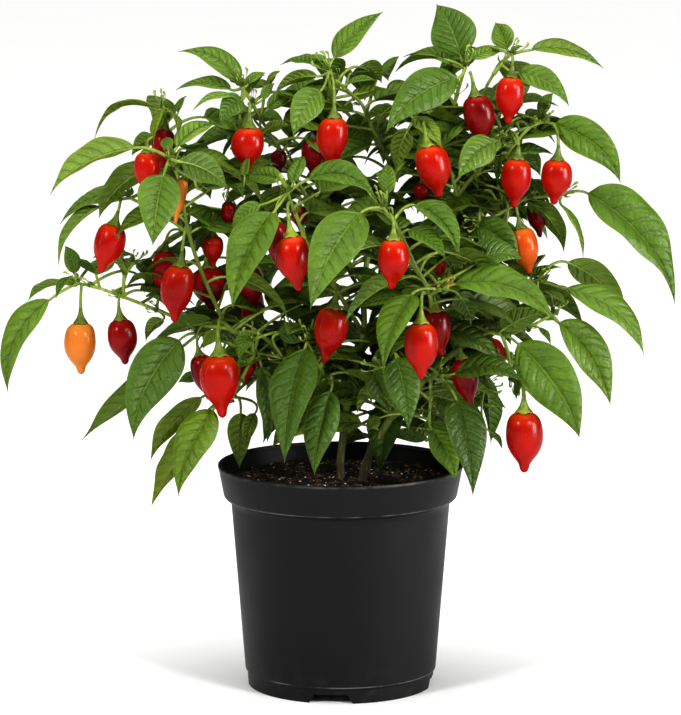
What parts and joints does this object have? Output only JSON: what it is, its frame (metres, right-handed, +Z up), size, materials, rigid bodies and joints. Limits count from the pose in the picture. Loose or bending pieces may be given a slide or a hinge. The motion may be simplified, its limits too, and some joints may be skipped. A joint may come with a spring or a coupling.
{
  "type": "potted chilli pepper plant",
  "caption": "Bushy chilli pepper plant with pointed leaves and hanging teardrop fruits, growing in a round black nursery pot that stands on its base.",
  "frame": {"origin": "on the standing surface, under the centre of the pot", "axes": "+Z up, +X to the right of the main view, -Y towards its viewer"},
  "size_m": [0.4092, 0.246, 0.4166],
  "materials": {
    "pot": "satin black moulded plastic",
    "soil": "moist dark potting compost with fibres and chips",
    "stem": "olive green bark, brownish at the soil",
    "leaf": "satin green leaf, paler beneath",
    "fruit_red": "glossy ripe red skin",
    "fruit_dark": "glossy dark red skin",
    "fruit_orange": "glossy orange skin",
    "fruit_orange_red": "glossy orange-red skin"
  },
  "bodies": {
    "root": {"pot": "pot", "main_stem": "stem", "right_stem": "stem", "back_stem": "stem", "soil": "soil", "left_top_shoot": "leaf", "left_front_shoot": "leaf", "left_mid_shoot": "leaf", "left_branch": "leaf", "low_left_shoot": "leaf", "low_centre_shoot": "leaf", "front_centre_shoot": "leaf", "top_left_shoot": "leaf", "top_centre_shoot": "leaf", "crown_shoot": "leaf", "inner_right_shoot": "leaf", "top_right_shoot": "leaf", "right_top_shoot": "leaf", "right_tip_shoot": "leaf", "right_mid_shoot": "leaf", "front_shoot": "leaf", "front_right_shoot": "leaf", "low_right_shoot": "leaf", "base_right_shoot": "leaf", "back_left_shoot": "leaf", "back_centre_shoot": "leaf", "back_right_shoot": "leaf", "back_low_shoot": "leaf", "back_low_right_shoot": "leaf", "fruit_left_top": "fruit_dark", "fruit_left_front": "fruit_red", "fruit_left_mid": "fruit_red", "fruit_left_tip": "fruit_orange", "fruit_left_branch": "fruit_dark", "fruit_left_hang": "fruit_red", "fruit_left_inner": "fruit_dark", "fruit_front_left": "fruit_red", "fruit_left_low": "fruit_dark", "fruit_top_left": "fruit_red", "fruit_top_centre": "fruit_red", "fruit_centre_back": "fruit_dark", "fruit_centre_front": "fruit_red", "fruit_centre_low": "fruit_red", "fruit_crown": "fruit_dark", "fruit_inner_right": "fruit_red", "fruit_front": "fruit_red", "fruit_front_right": "fruit_red", "fruit_right_inner": "fruit_dark", "fruit_right_low_inner": "fruit_dark", "fruit_right_low_back": "fruit_red", "fruit_right_low": "fruit_red", "fruit_right_mid": "fruit_orange_red", "fruit_right_top": "fruit_red", "fruit_right_end": "fruit_red", "fruit_top_right": "fruit_red", "fruit_back_left": "fruit_red", "fruit_back_centre": "fruit_red", "fruit_back_right": "fruit_red", "fruit_back_low": "fruit_orange", "fruit_back_low_right": "fruit_red"}
  },
  "joints": []
}
